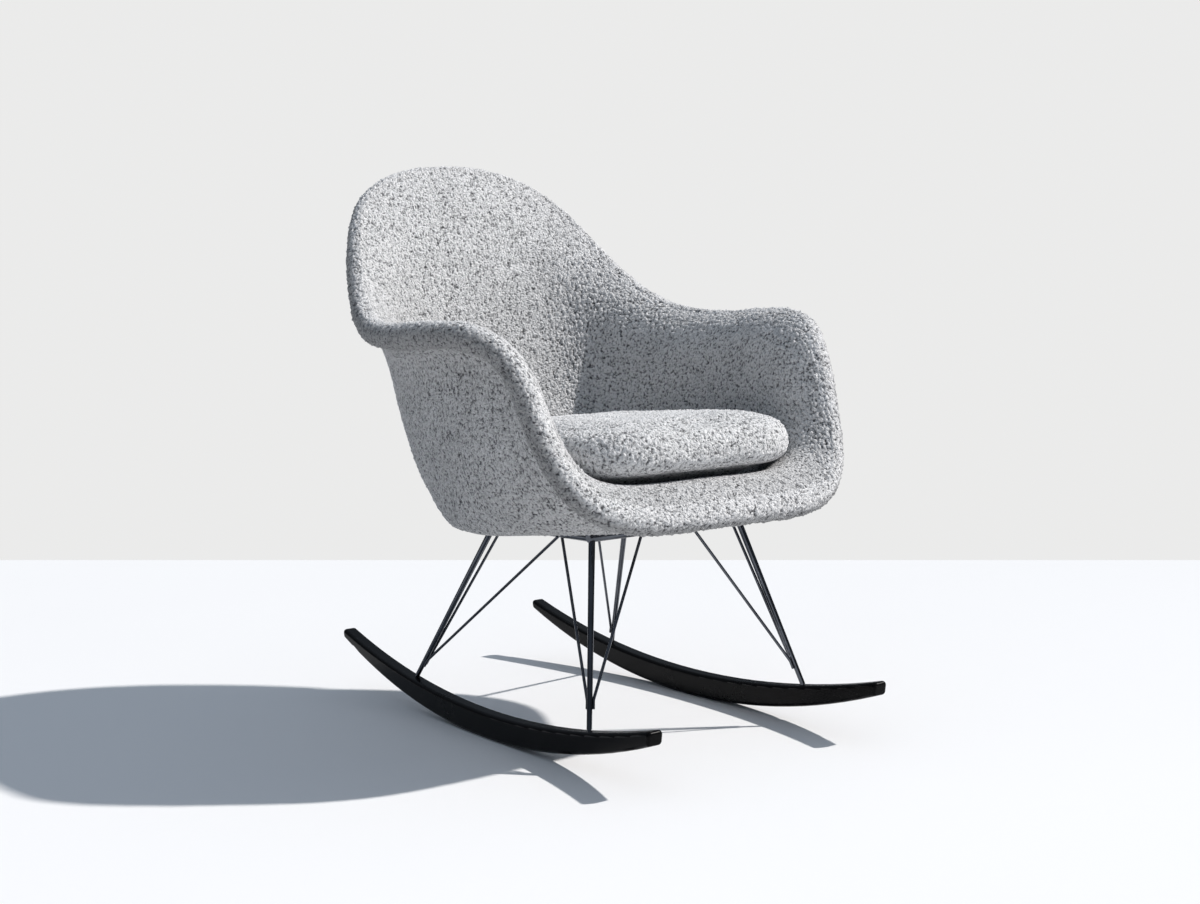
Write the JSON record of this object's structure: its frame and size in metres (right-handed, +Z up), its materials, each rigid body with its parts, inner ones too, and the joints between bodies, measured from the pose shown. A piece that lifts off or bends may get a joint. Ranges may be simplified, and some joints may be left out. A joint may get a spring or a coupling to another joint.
{
  "type": "rocking armchair",
  "caption": "Upholstered bucket-seat rocking armchair with a loose seat cushion, on a dark steel rod base with wire braces and curved black rockers.",
  "frame": {"origin": "middle of the bounding box on the floor line of the rockers", "axes": "+Z up, the seat faces -Y, X = 0 is the mirror plane; left in a node's name is -X, right is +X"},
  "size_m": [0.5938, 0.8424, 0.8221],
  "materials": {
    "rocker_wood": "black lacquer, semi-gloss",
    "frame_rod": "dark gunmetal lacquer, glossy",
    "mount_rubber": "matte",
    "zinc_fastener": "zinc plated",
    "hole_plug": "matte",
    "shell_plastic": "moulded, unpainted",
    "foam": "cut foam",
    "boucle": "looped boucle weave, light grey",
    "zip": "woven tape and coil"
  },
  "bodies": {
    "chair": {"rocker_left": "rocker_wood", "rocker_right": "rocker_wood", "front_rail": "frame_rod", "rear_rail": "frame_rod", "side_rail_left": "frame_rod", "side_rail_right": "frame_rod", "front_strap": "frame_rod", "rear_strap": "frame_rod", "front_leg_left": "frame_rod", "front_leg_right": "frame_rod", "rear_leg_left": "frame_rod", "rear_leg_right": "frame_rod", "side_brace_front_left": "frame_rod", "side_brace_front_right": "frame_rod", "side_brace_rear_left": "frame_rod", "front_brace_left": "frame_rod", "front_brace_right": "frame_rod", "rear_brace_left": "frame_rod", "rear_brace_right": "frame_rod", "shock_mounts": "mount_rubber", "mount_washers": "zinc_fastener", "mount_bolts": "zinc_fastener", "tee_nuts": "zinc_fastener", "leg_screws": "zinc_fastener", "screw_plugs": "hole_plug", "shell_moulding": "shell_plastic", "outer_padding": "foam", "inner_padding": "foam", "outer_cover": "boucle", "inner_cover": "boucle"},
    "cushion": {"cushion_core": "foam", "cushion_bottom_cover": "boucle", "cushion_top_cover": "boucle", "cushion_zip": "zip"}
  },
  "joints": [
    {"name": "cushion_lift", "type": "slide", "parent": "chair", "child": "cushion", "axis": [0, 0, 1], "range_m": [0, 0.2]}
  ]
}
